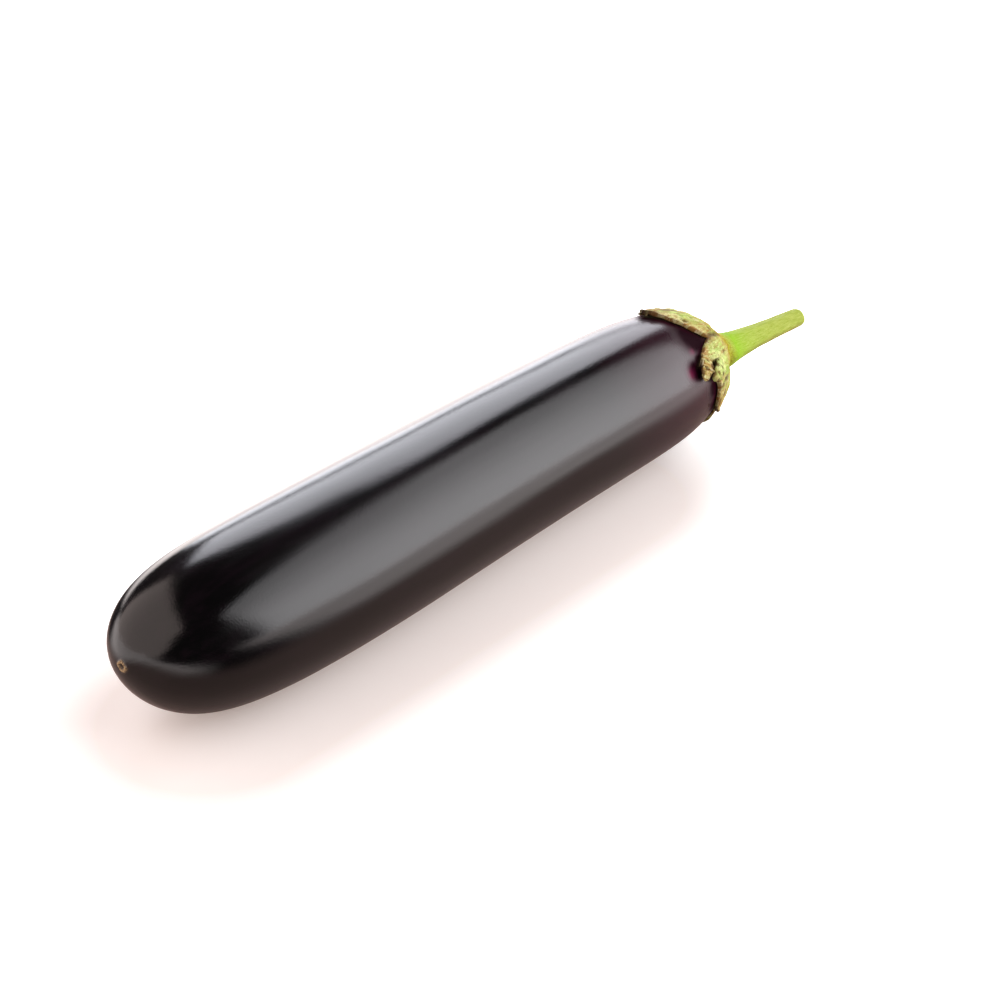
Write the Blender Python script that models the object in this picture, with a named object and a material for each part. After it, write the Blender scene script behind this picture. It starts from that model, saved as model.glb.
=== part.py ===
"""A long dark eggplant as picked, lying on its side: a smooth fruit, and its green calyx with a cut stem.

The blossom end points along -X and the stem along +X. The origin lies under the middle of the whole
vegetable, on the surface that it rests on.
"""

import math

import bmesh
import bpy
from mathutils import Vector

# The fruit. Lengths are in metres and run along X from the blossom end.
FRUIT_LENGTH = 0.2617
BELLY_RADIUS = 0.02605
SHOULDER_RADIUS = 0.0238
BELLY_X = 0.065
SHOULDER_X = 0.190
TAPER_SOFTNESS = 0.012
BLOSSOM_ROUNDING = 0.0155
BLOSSOM_FULLNESS = 0.584
STEM_END_ROUNDING = 0.0113
STEM_END_FULLNESS = 0.82

# The line through the middle of the fruit: it snakes a little, and both ends sit off it.
SWAY = 0.0014
SLOPE = 0.019
BLOSSOM_SHIFT = Vector((0.0, 0.0011, 0.0013))
BLOSSOM_SHIFT_REACH = 0.010
STEM_END_SHIFT = Vector((0.0, 0.0007, -0.0001))
STEM_END_SHIFT_REACH = 0.014
REST_FLAT_DEPTH = 0.0004

# The corky ring that the flower left, as low relief on the tip of the fruit.
SCAR_RADIUS = 0.0013
SCAR_HEIGHT = 0.0004
SCAR_RIM_WIDTH = 0.00045
SCAR_PIT_DEPTH = 0.0005
SCAR_RINGS = (0.45, 0.75, 1.0, 1.3, 1.75)

# The stem, from the cup of the calyx to its cut end.
STEM_LENGTH = 0.0465
STEM_BASE_RADIUS = 0.0077
STEM_TIP_RADIUS = 0.0030
STEM_TAPER = 0.0147
STEM_OFFSET = Vector((0.0, -0.0014, -0.0017))
STEM_SWING = Vector((0.0, -0.0022, -0.0026))
STEM_RIBS = 5
STEM_RIB_DEPTH = 0.07
CUT_ROUNDING = 0.0012
STEM_DROOP_POWER = 1.1

# The calyx: a fleshy cup that splits into five pointed sepals lying on the fruit.
# Each sepal has the angle of its tip, its tip's distance from the stem along the skin, how far the
# tip curls off the skin, and how pointed it is on either side: under 1 is full, over 1 is hollow.
# Each notch, the one before its sepal, has its angle and its distance.
SEPALS = (
    (33, 0.0405, 0.0020, 1.6, 0.8),
    (103, 0.0395, 0.0010, 0.6, 1.2),
    (182, 0.0385, 0.0015, 1.1, 1.2),
    (274, 0.0318, 0.0001, 1.1, 1.1),
    (345, 0.0322, 0.0005, 0.8, 1.0),
)
NOTCHES = ((6, 0.0310), (52, 0.0265), (143, 0.0265), (229, 0.0255), (327, 0.0248))
COLUMNS_A_SIDE = 6
CALYX_CLEARANCE = 0.0003
CALYX_EDGE_THICKNESS = 0.0009
CALYX_CUP_THICKNESS = 0.0022
CALYX_NECK_ARC = 0.0068
MIDRIB_HEIGHT = 0.0005
MIDRIB_START = 0.7
EDGE_WAVE = 0.00025
EDGE_WAVES = 5
EDGE_WAVE_START = 2.0

# Facets
FRUIT_RINGS = 52
FRUIT_SIDES = 56
CALYX_ROWS = 8
STEM_ROWS = 9
NECK_ROWS = 3
NECK_SLOPE_STEP = 0.002
CUT_RINGS = (0.4, 0.0)
PROFILE_STEPS = 1200


def radius_at(x):
    """The fruit's radius at x, a full belly that tapers gently and closes at both ends."""
    past_belly = TAPER_SOFTNESS * math.log1p(math.exp((x - BELLY_X) / TAPER_SOFTNESS))
    share = past_belly / (SHOULDER_X - BELLY_X)
    body = BELLY_RADIUS + (SHOULDER_RADIUS - BELLY_RADIUS) * share
    blossom_end = (1 - math.exp(-x / BLOSSOM_ROUNDING)) ** BLOSSOM_FULLNESS
    stem_end = (1 - math.exp(-(FRUIT_LENGTH - x) / STEM_END_ROUNDING)) ** STEM_END_FULLNESS
    return body * blossom_end * stem_end


def middle_at(x):
    """The middle of the fruit's section at x, before the fruit is set on its resting spot."""
    middle = Vector((x, 0.0, SLOPE * (FRUIT_LENGTH / 2 - x)))
    middle.y -= SWAY * math.sin(2 * math.pi * x / FRUIT_LENGTH)
    middle += BLOSSOM_SHIFT * math.exp(-x / BLOSSOM_SHIFT_REACH)
    middle += STEM_END_SHIFT * math.exp(-(FRUIT_LENGTH - x) / STEM_END_SHIFT_REACH)
    return middle


def profile_table():
    """Rows of (distance along the skin from the blossom end, x, radius), close together at both ends."""
    rows = [(0.0, 0.0, 0.0)]
    for step in range(1, PROFILE_STEPS + 1):
        x = FRUIT_LENGTH * (1 - math.cos(math.pi * step / PROFILE_STEPS)) / 2
        radius = radius_at(x) if step < PROFILE_STEPS else 0.0
        arc = rows[-1][0] + math.hypot(x - rows[-1][1], radius - rows[-1][2])
        rows.append((arc, x, radius))
    return rows


PROFILE = profile_table()
SKIN_LENGTH = PROFILE[-1][0]


def profile_at(arc):
    """(x, radius, outward normal's x, outward normal's radial part) at a distance along the skin."""
    arc = min(max(arc, 0.0), SKIN_LENGTH)
    low, high = 0, PROFILE_STEPS
    while high - low > 1:
        middle = (low + high) // 2
        if PROFILE[middle][0] <= arc:
            low = middle
        else:
            high = middle
    (arc_a, x_a, radius_a), (arc_b, x_b, radius_b) = PROFILE[low], PROFILE[high]
    share = (arc - arc_a) / (arc_b - arc_a)
    along_x = (x_b - x_a) / (arc_b - arc_a)
    along_radius = (radius_b - radius_a) / (arc_b - arc_a)
    return x_a + (x_b - x_a) * share, radius_a + (radius_b - radius_a) * share, -along_radius, along_x


def round_axis(angle):
    """The unit vector square to X at an angle round the fruit: 0 faces -Y, 90 degrees faces up."""
    return Vector((0.0, -math.cos(angle), math.sin(angle)))


def skin_point(arc, angle, lift=0.0):
    """The point of the skin at that distance and angle, raised square to the skin by lift."""
    x, radius, normal_x, normal_radial = profile_at(arc)
    outward = round_axis(angle) * (radius + normal_radial * lift)
    return middle_at(x) + Vector((normal_x * lift, 0, 0)) + outward


def closed_body(name, first_pole, rings, last_pole, material):
    """One closed body through rings of equally many points, with a fan at each end."""
    mesh = bmesh.new()
    loops = [[mesh.verts.new(point) for point in ring] for ring in rings]
    sides = len(loops[0])
    start = mesh.verts.new(first_pole)
    end = mesh.verts.new(last_pole)
    for i in range(sides):
        j = (i + 1) % sides
        mesh.faces.new((start, loops[0][j], loops[0][i]))
        mesh.faces.new((end, loops[-1][i], loops[-1][j]))
        for near, far in zip(loops, loops[1:]):
            mesh.faces.new((near[i], near[j], far[j], far[i]))
    bmesh.ops.recalc_face_normals(mesh, faces=mesh.faces)
    data = bpy.data.meshes.new(name)
    mesh.to_mesh(data)
    mesh.free()
    data.shade_smooth()
    data.materials.append(material)
    body = bpy.data.objects.new(name, data)
    bpy.context.scene.collection.objects.link(body)
    return body


def plain_material(name, colour, roughness):
    material = bpy.data.materials.new(name)
    material.use_nodes = True
    shader = material.node_tree.nodes["Principled BSDF"]
    shader.inputs["Base Color"].default_value = (*colour, 1.0)
    shader.inputs["Roughness"].default_value = roughness
    shader.inputs["Metallic"].default_value = 0.0
    return material


def scar_relief(arc):
    """How far the skin stands out near the tip: a rim round a small pit."""
    rim = math.exp(-(((arc - SCAR_RADIUS) / SCAR_RIM_WIDTH) ** 2))
    pit = math.exp(-((arc / SCAR_RADIUS) ** 2) * 2)
    return SCAR_HEIGHT * rim - SCAR_PIT_DEPTH * pit


def make_fruit(material):
    scar_arcs = [SCAR_RADIUS * share for share in SCAR_RINGS]
    arcs = [SKIN_LENGTH * (1 - math.cos(math.pi * i / FRUIT_RINGS)) / 2 for i in range(1, FRUIT_RINGS)]
    arcs = scar_arcs + [arc for arc in arcs if arc > 2 * SCAR_RADIUS]
    angles = [2 * math.pi * i / FRUIT_SIDES for i in range(FRUIT_SIDES)]
    rings = [[skin_point(arc, angle, scar_relief(arc)) for angle in angles] for arc in arcs]
    tip = skin_point(0.0, 0.0) + Vector((SCAR_PIT_DEPTH, 0, 0))
    return closed_body("fruit", tip, rings, skin_point(SKIN_LENGTH, 0.0), material)


def blend(a, b, share):
    return a + (b - a) * share


def calyx_columns():
    """Each column round the calyx: (angle, distance from the stem to the edge, nearness to a tip, curl)."""
    columns = []
    next_notches = NOTCHES[1:] + ((NOTCHES[0][0] + 360, NOTCHES[0][1]),)
    for (tip, reach, curl, hollow_before, hollow_after), before, after in zip(SEPALS, NOTCHES, next_notches):
        shares = [i / COLUMNS_A_SIDE for i in range(COLUMNS_A_SIDE)]
        half = [(before, share, hollow_before) for share in shares]
        half += [(after, 1 - share, hollow_after) for share in shares]
        for (notch_angle, notch_edge), share, hollow in half:
            angle = math.radians(blend(notch_angle, tip, share))
            columns.append((angle, blend(notch_edge, reach, share**hollow), share, curl))
    return columns


def calyx_lift(column, reach):
    """How far the underside of the calyx stands off the skin, at a share of the way to its edge."""
    angle, _, nearness, curl = column
    wave = EDGE_WAVE * (1 + math.sin(EDGE_WAVES * angle + EDGE_WAVE_START)) * reach**3
    return CALYX_CLEARANCE + curl * nearness**2 * reach**4 + wave


def calyx_point(column, arc, thickness_share):
    """A point of the calyx at a distance from the fruit's stem end: share 0 is its underside, 1 its top."""
    angle, edge, nearness, _ = column
    flesh = CALYX_CUP_THICKNESS * math.exp(-max(arc - CALYX_NECK_ARC, 0) / CALYX_NECK_ARC)
    midrib = MIDRIB_HEIGHT * max(nearness - MIDRIB_START, 0) / (1 - MIDRIB_START)
    thickness = CALYX_EDGE_THICKNESS + flesh + midrib * (1 - (arc / edge) ** 4)
    return skin_point(SKIN_LENGTH - arc, angle, calyx_lift(column, arc / edge) + thickness * thickness_share)


def stem_middle(distance):
    share = distance / STEM_LENGTH
    base = middle_at(FRUIT_LENGTH)
    return base + Vector((distance, 0, 0)) + STEM_OFFSET + STEM_SWING * share**STEM_DROOP_POWER


def stem_point(distance, angle):
    """A point on the stem's ribbed side, that far from the fruit."""
    radius = blend(STEM_TIP_RADIUS, STEM_BASE_RADIUS, math.exp(-distance / STEM_TAPER))
    from_cut = STEM_LENGTH - distance
    if from_cut < CUT_ROUNDING:
        radius -= CUT_ROUNDING * (1 - math.sqrt(1 - (1 - from_cut / CUT_ROUNDING) ** 2))
    rib_depth = STEM_RIB_DEPTH * (1 - math.exp(-distance / STEM_TAPER))
    radius *= 1 + rib_depth * math.cos(STEM_RIBS * angle)
    return stem_middle(distance) + round_axis(angle) * radius


def neck_points(column):
    """The hollow curve that carries the top of the cup into the stem, along one column."""
    angle = column[0]
    cup = calyx_point(column, CALYX_NECK_ARC, 1.0)
    cup_slope = cup - calyx_point(column, CALYX_NECK_ARC + NECK_SLOPE_STEP, 1.0)
    stem = stem_point(CALYX_NECK_ARC, angle)
    stem_slope = stem_point(CALYX_NECK_ARC + NECK_SLOPE_STEP, angle) - stem
    points = []
    for i in range(1, NECK_ROWS + 1):
        t = i / (NECK_ROWS + 1)
        pull = (stem - cup).length
        point = cup * (2 * t**3 - 3 * t**2 + 1) + stem * (3 * t**2 - 2 * t**3)
        point += cup_slope.normalized() * pull * (t**3 - 2 * t**2 + t)
        point += stem_slope.normalized() * pull * (t**3 - t**2)
        points.append(point)
    return points


def make_calyx_and_stem(material):
    columns = calyx_columns()
    rings = []
    for i in range(1, CALYX_ROWS + 1):
        reach = i / CALYX_ROWS
        rings.append([calyx_point(column, column[1] * reach, 0.0) for column in columns])
    for i in range(CALYX_ROWS + 1):
        inward = i / CALYX_ROWS
        ring = [calyx_point(column, blend(column[1], CALYX_NECK_ARC, inward), 1.0) for column in columns]
        rings.append(ring)
    rings += [list(ring) for ring in zip(*(neck_points(column) for column in columns))]
    straight = STEM_LENGTH - CUT_ROUNDING - CALYX_NECK_ARC
    distances = [CALYX_NECK_ARC + straight * i / STEM_ROWS for i in range(STEM_ROWS + 1)]
    distances += [STEM_LENGTH - CUT_ROUNDING * share for share in CUT_RINGS]
    rings += [[stem_point(distance, column[0]) for column in columns] for distance in distances]
    under = skin_point(SKIN_LENGTH, 0.0, CALYX_CLEARANCE)
    return closed_body("calyx_and_stem", under, rings, stem_middle(STEM_LENGTH), material)


def cut_resting_flat(fruit):
    """Slices the thinnest sliver off the underside, so that the fruit lies on a real flat spot."""
    lowest = min(vertex.co.z for vertex in fruit.data.vertices)
    mesh = bmesh.new()
    mesh.from_mesh(fruit.data)
    cut = bmesh.ops.bisect_plane(
        mesh,
        geom=mesh.verts[:] + mesh.edges[:] + mesh.faces[:],
        plane_co=(0, 0, lowest + REST_FLAT_DEPTH),
        plane_no=(0, 0, -1),
        clear_outer=True,
    )
    edges = [item for item in cut["geom_cut"] if isinstance(item, bmesh.types.BMEdge)]
    bmesh.ops.contextual_create(mesh, geom=edges)
    bmesh.ops.recalc_face_normals(mesh, faces=mesh.faces)
    mesh.to_mesh(fruit.data)
    mesh.free()
    return lowest + REST_FLAT_DEPTH


def centre_on_origin(bodies, floor_height):
    """Moves the meshes so that the flat spot is at height 0 and the whole lies centred on the origin."""
    points = [vertex.co for body in bodies for vertex in body.data.vertices]
    middle_x = (min(p.x for p in points) + max(p.x for p in points)) / 2
    middle_y = (min(p.y for p in points) + max(p.y for p in points)) / 2
    for body in bodies:
        for vertex in body.data.vertices:
            vertex.co -= Vector((middle_x, middle_y, floor_height))


for old in list(bpy.data.objects):
    bpy.data.objects.remove(old, do_unlink=True)

skin = plain_material("black_purple_skin", (0.012, 0.008, 0.013), 0.22)
green = plain_material("green_calyx", (0.42, 0.50, 0.13), 0.6)
fruit = make_fruit(skin)
calyx_and_stem = make_calyx_and_stem(green)
floor_height = cut_resting_flat(fruit)
centre_on_origin((fruit, calyx_and_stem), floor_height)
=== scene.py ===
import math

import bmesh
import bpy
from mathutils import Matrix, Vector, noise


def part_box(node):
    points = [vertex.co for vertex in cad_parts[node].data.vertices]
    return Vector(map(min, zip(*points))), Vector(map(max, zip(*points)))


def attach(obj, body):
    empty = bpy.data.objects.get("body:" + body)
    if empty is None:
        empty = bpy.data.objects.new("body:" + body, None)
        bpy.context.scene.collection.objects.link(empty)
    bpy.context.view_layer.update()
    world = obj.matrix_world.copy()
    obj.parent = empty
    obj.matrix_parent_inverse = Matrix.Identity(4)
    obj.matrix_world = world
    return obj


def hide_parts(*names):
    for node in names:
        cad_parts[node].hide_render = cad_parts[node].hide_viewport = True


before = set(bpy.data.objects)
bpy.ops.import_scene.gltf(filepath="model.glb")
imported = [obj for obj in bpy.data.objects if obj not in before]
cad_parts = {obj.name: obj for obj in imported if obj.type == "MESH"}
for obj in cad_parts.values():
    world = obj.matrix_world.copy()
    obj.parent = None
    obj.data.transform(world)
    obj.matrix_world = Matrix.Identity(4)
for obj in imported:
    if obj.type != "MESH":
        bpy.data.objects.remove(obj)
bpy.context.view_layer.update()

# The camera. It looks down on the eggplant from beyond its blossom end, as a long lens on a low
# tripod would. The angles, the distance and the point looked at come from fitting the outline.
CAMERA_AZIMUTH = math.radians(-47.64)
CAMERA_ELEVATION = math.radians(31.54)
CAMERA_DISTANCE = 0.8379
LOOKED_AT = Vector((-0.0290, 0.0009, 0.0245))
LENS_MM = 100.0
SENSOR_MM = 36.0
PHOTO_SIDE_PX = 1000
LOOKED_AT_PX = (433.3, 502.6)

lens = bpy.data.cameras.new("photo_lens")
lens.lens = LENS_MM
lens.sensor_width = SENSOR_MM
lens.clip_start = 0.01
lens.shift_x = (PHOTO_SIDE_PX / 2 - LOOKED_AT_PX[0]) / PHOTO_SIDE_PX
lens.shift_y = (LOOKED_AT_PX[1] - PHOTO_SIDE_PX / 2) / PHOTO_SIDE_PX
towards_camera = Vector(
    (
        math.sin(CAMERA_AZIMUTH) * math.cos(CAMERA_ELEVATION),
        -math.cos(CAMERA_AZIMUTH) * math.cos(CAMERA_ELEVATION),
        math.sin(CAMERA_ELEVATION),
    )
)
camera = bpy.data.objects.new("camera", lens)
camera.location = LOOKED_AT + towards_camera * CAMERA_DISTANCE
camera.rotation_euler = towards_camera.to_track_quat("Z", "Y").to_euler()
bpy.context.scene.collection.objects.link(camera)
bpy.context.scene.camera = camera
bpy.context.scene.view_settings.view_transform = "Standard"

# The table top and the light. A matt white top, burnt out by a painted glow away from the eggplant,
# with a faint painted warm shade beside it. The screens are a window behind it in two panes, a wide
# reflector on the right that brightens downwards, and a warm wall on the left, which the blossom end mirrors.
FLOOR_SIDE = 24.0
FLOOR_WHITE = (0.82, 0.82, 0.82)
PAPER_SCALE = 90.0
PAPER_EVENNESS = 0.97
SHADE_GLOW = (0.24, 0.180, 0.150)
BURNT_OUT_GLOW = (1.15, 1.15, 1.15)
SHADE_FROM_X = -0.130
SHADE_TO_X = 0.035
SHADE_Y = -0.006
SHADE_FADE = (0.032, 0.082)

# What the glossy skin mirrors of the table top, which the camera's own rays never see: a painted warm shade
# close by, and dark farther out, except beside the stem and beyond the blossom end, where a painted glow
# lights it.
MIRRORED_WARM = (0.52, 0.40, 0.36)
MIRRORED_DARK = (0.02, 0.02, 0.02)
MIRRORED_GLOW = (1.9, 1.85, 1.85)
NO_GLOW = (0.0, 0.0, 0.0)
MIRROR_STRETCH = 0.28
MIRROR_FADE = (0.065, 0.105)
LIT_STEM_SIDE = (-0.085, -0.030)
LIT_BLOSSOM_SIDE = (-0.145, -0.195)
LIT_BLOSSOM_REACH = (-0.16, -0.08)

ROOM_LIGHT = 0.05
ROOM_TINT = (1.0, 0.97, 0.95, 1.0)
ROOM_WHITE = (1.0, 1.0, 1.0, 1.0)
SCREEN_DISTANCE = 2.0
WINDOW_TINT = (0.92, 0.93, 1.0)
WALL_TINT = (1.0, 0.84, 0.79)
REFLECTOR_TINT = (1.0, 0.98, 1.0)
REFLECTOR_AZIMUTH = -43

# Each screen's name, azimuth, elevation, width, height, radiance and tint. The reflector is made
# of sheets that overlap, each with the elevation of its top, its width and its radiance.
SCREENS = (
    ("window_sill_pane", 44, 5, 1.3, 0.42, 4.4, WINDOW_TINT),
    ("window_pane", 42, 31, 1.3, 1.10, 4.9, WINDOW_TINT),
    ("left_wall", 150, 33, 5.2, 3.4, 1.7, WALL_TINT),
)
REFLECTOR_SHEETS = ((55, 2.7, 2.4), (44, 2.5, 0.8), (37, 2.4, 0.7), (29, 2.3, 0.7), (21, 2.2, 0.4))


def add_node(tree, kind, settings=None, **sockets):
    """Adds a shader node. Each named socket takes a value, or the output that is linked to it."""
    node = tree.nodes.new("ShaderNode" + kind)
    for name, value in (settings or {}).items():
        setattr(node, name, value)
    for name, value in sockets.items():
        socket = node.inputs[name.replace("_", " ")]
        if isinstance(value, bpy.types.NodeSocket):
            tree.links.new(value, socket)
        else:
            socket.default_value = value
    return node


def new_material(name):
    """A new material's (material, tree, its Principled BSDF)."""
    material = bpy.data.materials.new(name)
    material.use_nodes = True
    return material, material.node_tree, material.node_tree.nodes["Principled BSDF"]


def mixed(tree, share, a, b):
    """Colour a, with colour b over it where share says."""
    node = add_node(tree, "Mix", {"data_type": "RGBA"}, Factor=share)
    for socket, value in ((node.inputs[6], a), (node.inputs[7], b)):
        if isinstance(value, bpy.types.NodeSocket):
            tree.links.new(value, socket)
        else:
            socket.default_value = (*value, 1.0)
    return node.outputs[2]


def worked_out(tree, operation, a, b):
    """One sum on two values or outputs, kept between 0 and 1."""
    node = tree.nodes.new("ShaderNodeMath")
    node.operation = operation
    node.use_clamp = True
    for socket, value in zip(node.inputs, (a, b)):
        if isinstance(value, bpy.types.NodeSocket):
            tree.links.new(value, socket)
        else:
            socket.default_value = value
    return node.outputs[0]


def ramp(tree, value, ends):
    """0 at the first end, rising evenly to 1 at the second."""
    return add_node(tree, "MapRange", Value=value, From_Min=ends[0], From_Max=ends[1]).outputs["Result"]


def soft_screen(name, azimuth, elevation, width, height, radiance, colour):
    """A lit rectangle that faces the eggplant. Azimuth runs from +X towards +Y, in degrees."""
    light = bpy.data.lights.new(name, "AREA")
    light.shape = "RECTANGLE"
    light.size = width
    light.size_y = height
    light.energy = radiance * math.pi * width * height
    light.color = colour
    a, e = math.radians(azimuth), math.radians(elevation)
    away = Vector((math.cos(a) * math.cos(e), math.sin(a) * math.cos(e), math.sin(e)))
    screen = bpy.data.objects.new(name, light)
    screen.location = away * SCREEN_DISTANCE
    screen.rotation_euler = away.to_track_quat("Z", "Y").to_euler()
    bpy.context.scene.collection.objects.link(screen)


def distance_from_fruit(tree, place, along):
    """How far a place on the table top is from the line that the fruit lies over."""
    under = add_node(
        tree,
        "MapRange",
        Value=along,
        From_Min=SHADE_FROM_X,
        From_Max=SHADE_TO_X,
        To_Min=SHADE_FROM_X,
        To_Max=SHADE_TO_X,
    )
    nearest = add_node(tree, "CombineXYZ", X=under.outputs["Result"], Y=SHADE_Y)
    apart = add_node(tree, "VectorMath", {"operation": "DISTANCE"})
    tree.links.new(place, apart.inputs[0])
    tree.links.new(nearest.outputs["Vector"], apart.inputs[1])
    return apart.outputs["Value"]


def table_top_material():
    material, tree, shader = new_material("white_table_top")
    place = add_node(tree, "TexCoord").outputs["Object"]
    spot = add_node(tree, "SeparateXYZ", Vector=place).outputs
    # what the camera sees
    paper = add_node(tree, "TexNoise", Vector=place, Scale=PAPER_SCALE, Detail=3.0).outputs["Fac"]
    white = mixed(tree, paper, tuple(PAPER_EVENNESS * value for value in FLOOR_WHITE), FLOOR_WHITE)
    # painted shade: the glow the camera sees fades to a dim warm one near the fruit
    burnt_out = ramp(tree, distance_from_fruit(tree, place, spot["X"]), SHADE_FADE)
    glow = mixed(tree, burnt_out, SHADE_GLOW, BURNT_OUT_GLOW)
    # what the skin mirrors
    stretched = add_node(tree, "Mapping", Vector=place, Scale=(MIRROR_STRETCH, 1.0, 1.0))
    away = add_node(tree, "VectorMath", {"operation": "LENGTH"})
    tree.links.new(stretched.outputs["Vector"], away.inputs[0])
    beyond = ramp(tree, away.outputs["Value"], MIRROR_FADE)
    past_tip = ramp(tree, spot["X"], LIT_BLOSSOM_SIDE)
    past_tip = worked_out(tree, "MULTIPLY", past_tip, ramp(tree, spot["Y"], LIT_BLOSSOM_REACH))
    lit = worked_out(tree, "MAXIMUM", ramp(tree, spot["X"], LIT_STEM_SIDE), past_tip)
    mirrored = mixed(tree, lit, MIRRORED_DARK, MIRRORED_WARM)
    mirrored = mixed(tree, beyond, MIRRORED_WARM, mirrored)
    # painted glow, seen only in the skin's reflections, beside the stem and beyond the blossom end
    mirrored_glow = mixed(tree, lit, NO_GLOW, MIRRORED_GLOW)
    mirrored_glow = mixed(tree, beyond, NO_GLOW, mirrored_glow)
    seen = add_node(tree, "LightPath").outputs["Is Camera Ray"]
    tree.links.new(mixed(tree, seen, mirrored, white), shader.inputs["Base Color"])
    tree.links.new(mixed(tree, seen, mirrored_glow, glow), shader.inputs["Emission Color"])
    shader.inputs["Emission Strength"].default_value = 1.0
    shader.inputs["Roughness"].default_value = 0.9
    shader.inputs["Specular IOR Level"].default_value = 0.1
    return material


def make_floor():
    mesh = bmesh.new()
    bmesh.ops.create_grid(mesh, x_segments=1, y_segments=1, size=FLOOR_SIDE / 2)
    data = bpy.data.meshes.new("floor")
    mesh.to_mesh(data)
    mesh.free()
    data.materials.append(table_top_material())
    floor = bpy.data.objects.new("floor", data)
    bpy.context.scene.collection.objects.link(floor)


def light_the_room():
    """A dim even room, which looks white only to the camera."""
    world = bpy.data.worlds.new("room")
    bpy.context.scene.world = world
    world.use_nodes = True
    tree = world.node_tree
    seen = add_node(tree, "LightPath").outputs["Is Camera Ray"]
    dim = tree.nodes["Background"]
    dim.inputs["Color"].default_value = ROOM_TINT
    dim.inputs["Strength"].default_value = ROOM_LIGHT
    white = add_node(tree, "Background", Color=ROOM_WHITE, Strength=1.0)
    choice = add_node(tree, "MixShader", Fac=seen)
    tree.links.new(dim.outputs[0], choice.inputs[1])
    tree.links.new(white.outputs[0], choice.inputs[2])
    tree.links.new(choice.outputs[0], tree.nodes["World Output"].inputs["Surface"])


make_floor()
light_the_room()
for screen in SCREENS:
    soft_screen(*screen)
for number, (top, width, radiance) in enumerate(REFLECTOR_SHEETS):
    name, elevation = "right_screen_%d" % number, top / 2
    height = 2 * SCREEN_DISTANCE * math.tan(math.radians(elevation))
    soft_screen(name, REFLECTOR_AZIMUTH, elevation, width, height, radiance, REFLECTOR_TINT)

# The fruit: one smooth tapering body with a thin glossy skin, black-purple all over, paler and
# magenta where the calyx shades it. It lies on a small flat spot. The flower left a corky ring on
# its tip. The form follows the same radius and middle line as its solid.
FRUIT_LENGTH = 0.2617
BELLY_RADIUS = 0.02605
SHOULDER_RADIUS = 0.0238
BELLY_X = 0.065
SHOULDER_X = 0.190
TAPER_SOFTNESS = 0.012
BLOSSOM_ROUNDING = 0.0155
BLOSSOM_FULLNESS = 0.584
STEM_END_ROUNDING = 0.0113
STEM_END_FULLNESS = 0.82
SWAY = 0.0014
SLOPE = 0.019
BLOSSOM_SHIFT = Vector((0.0, 0.0011, 0.0013))
BLOSSOM_SHIFT_REACH = 0.010
STEM_END_SHIFT = Vector((0.0, 0.0007, -0.0001))
STEM_END_SHIFT_REACH = 0.014
PROFILE_STEPS = 1600

SCAR_RADIUS = 0.0013
SCAR_HEIGHT = 0.0004
SCAR_RIM_WIDTH = 0.0005
SCAR_PIT_DEPTH = 0.0005
SCAR_PIT_STEEPNESS = 2.2
SCAR_LOBES = 4
SCAR_SQUARENESS = 0.10
SCAR_UNEVENNESS = 0.16

FRUIT_RINGS = 230
FRUIT_SIDES = 168
SCAR_RINGS = 19
SCAR_RING_STEP = 0.00016
DENT_DEPTH = 0.00012
DENT_LENGTH = 0.045
FINE_DENT_LENGTH = 0.4 * DENT_LENGTH
FINE_DENT_SHARE = 0.35
FURROW_DEPTH = 0.00005
FURROW_LENGTH = 0.060
FURROWS_ROUND = 4.5
FURROWS_BEGIN = 0.02
LAID_STEPS = 400

SKIN_BLACK = (0.0008, 0.0006, 0.0008)
SKIN_BROWN_BLACK = (0.0022, 0.0010, 0.0018)
SKIN_STREAK = (0.010, 0.004, 0.008)
YOUNG_SKIN = (0.034, 0.0050, 0.0130)
SKIN_IN_PAINTED_SHADE = (0.014, 0.0015, 0.0055)
FLUSHED_SKIN = (0.11, 0.006, 0.036)
SKIN_UNDER_CALYX = (0.30, 0.30, 0.16)
CORK_BROWN = (0.16, 0.085, 0.035)
CORK_PALE = (0.50, 0.37, 0.20)
SCAR_PIT_BROWN = (0.035, 0.018, 0.008)
POLISHED = (0.12, 0.19)
YOUNG_SKIN_DULLNESS = 0.12
DULL = 0.8
FLUSH_SOLIDITY = 0.7


def radius_at(x):
    """The fruit's radius at x, a full belly that tapers gently and closes at both ends."""
    past_belly = TAPER_SOFTNESS * math.log1p(math.exp((x - BELLY_X) / TAPER_SOFTNESS))
    share = past_belly / (SHOULDER_X - BELLY_X)
    body = BELLY_RADIUS + (SHOULDER_RADIUS - BELLY_RADIUS) * share
    blossom_end = (1 - math.exp(-x / BLOSSOM_ROUNDING)) ** BLOSSOM_FULLNESS
    stem_end = (1 - math.exp(-(FRUIT_LENGTH - x) / STEM_END_ROUNDING)) ** STEM_END_FULLNESS
    return body * blossom_end * stem_end


def middle_at(x):
    """The middle of the fruit's section at x, before the fruit is set on its resting spot."""
    middle = Vector((x, 0.0, SLOPE * (FRUIT_LENGTH / 2 - x)))
    middle.y -= SWAY * math.sin(2 * math.pi * x / FRUIT_LENGTH)
    middle += BLOSSOM_SHIFT * math.exp(-x / BLOSSOM_SHIFT_REACH)
    middle += STEM_END_SHIFT * math.exp(-(FRUIT_LENGTH - x) / STEM_END_SHIFT_REACH)
    return middle


def profile_table():
    """Rows of (distance along the skin from the blossom end, x, radius), close at both ends."""
    rows = [(0.0, 0.0, 0.0)]
    for step in range(1, PROFILE_STEPS + 1):
        x = FRUIT_LENGTH * (1 - math.cos(math.pi * step / PROFILE_STEPS)) / 2
        radius = radius_at(x) if step < PROFILE_STEPS else 0.0
        arc = rows[-1][0] + math.hypot(x - rows[-1][1], radius - rows[-1][2])
        rows.append((arc, x, radius))
    return rows


PROFILE = profile_table()
SKIN_LENGTH = PROFILE[-1][0]


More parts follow.
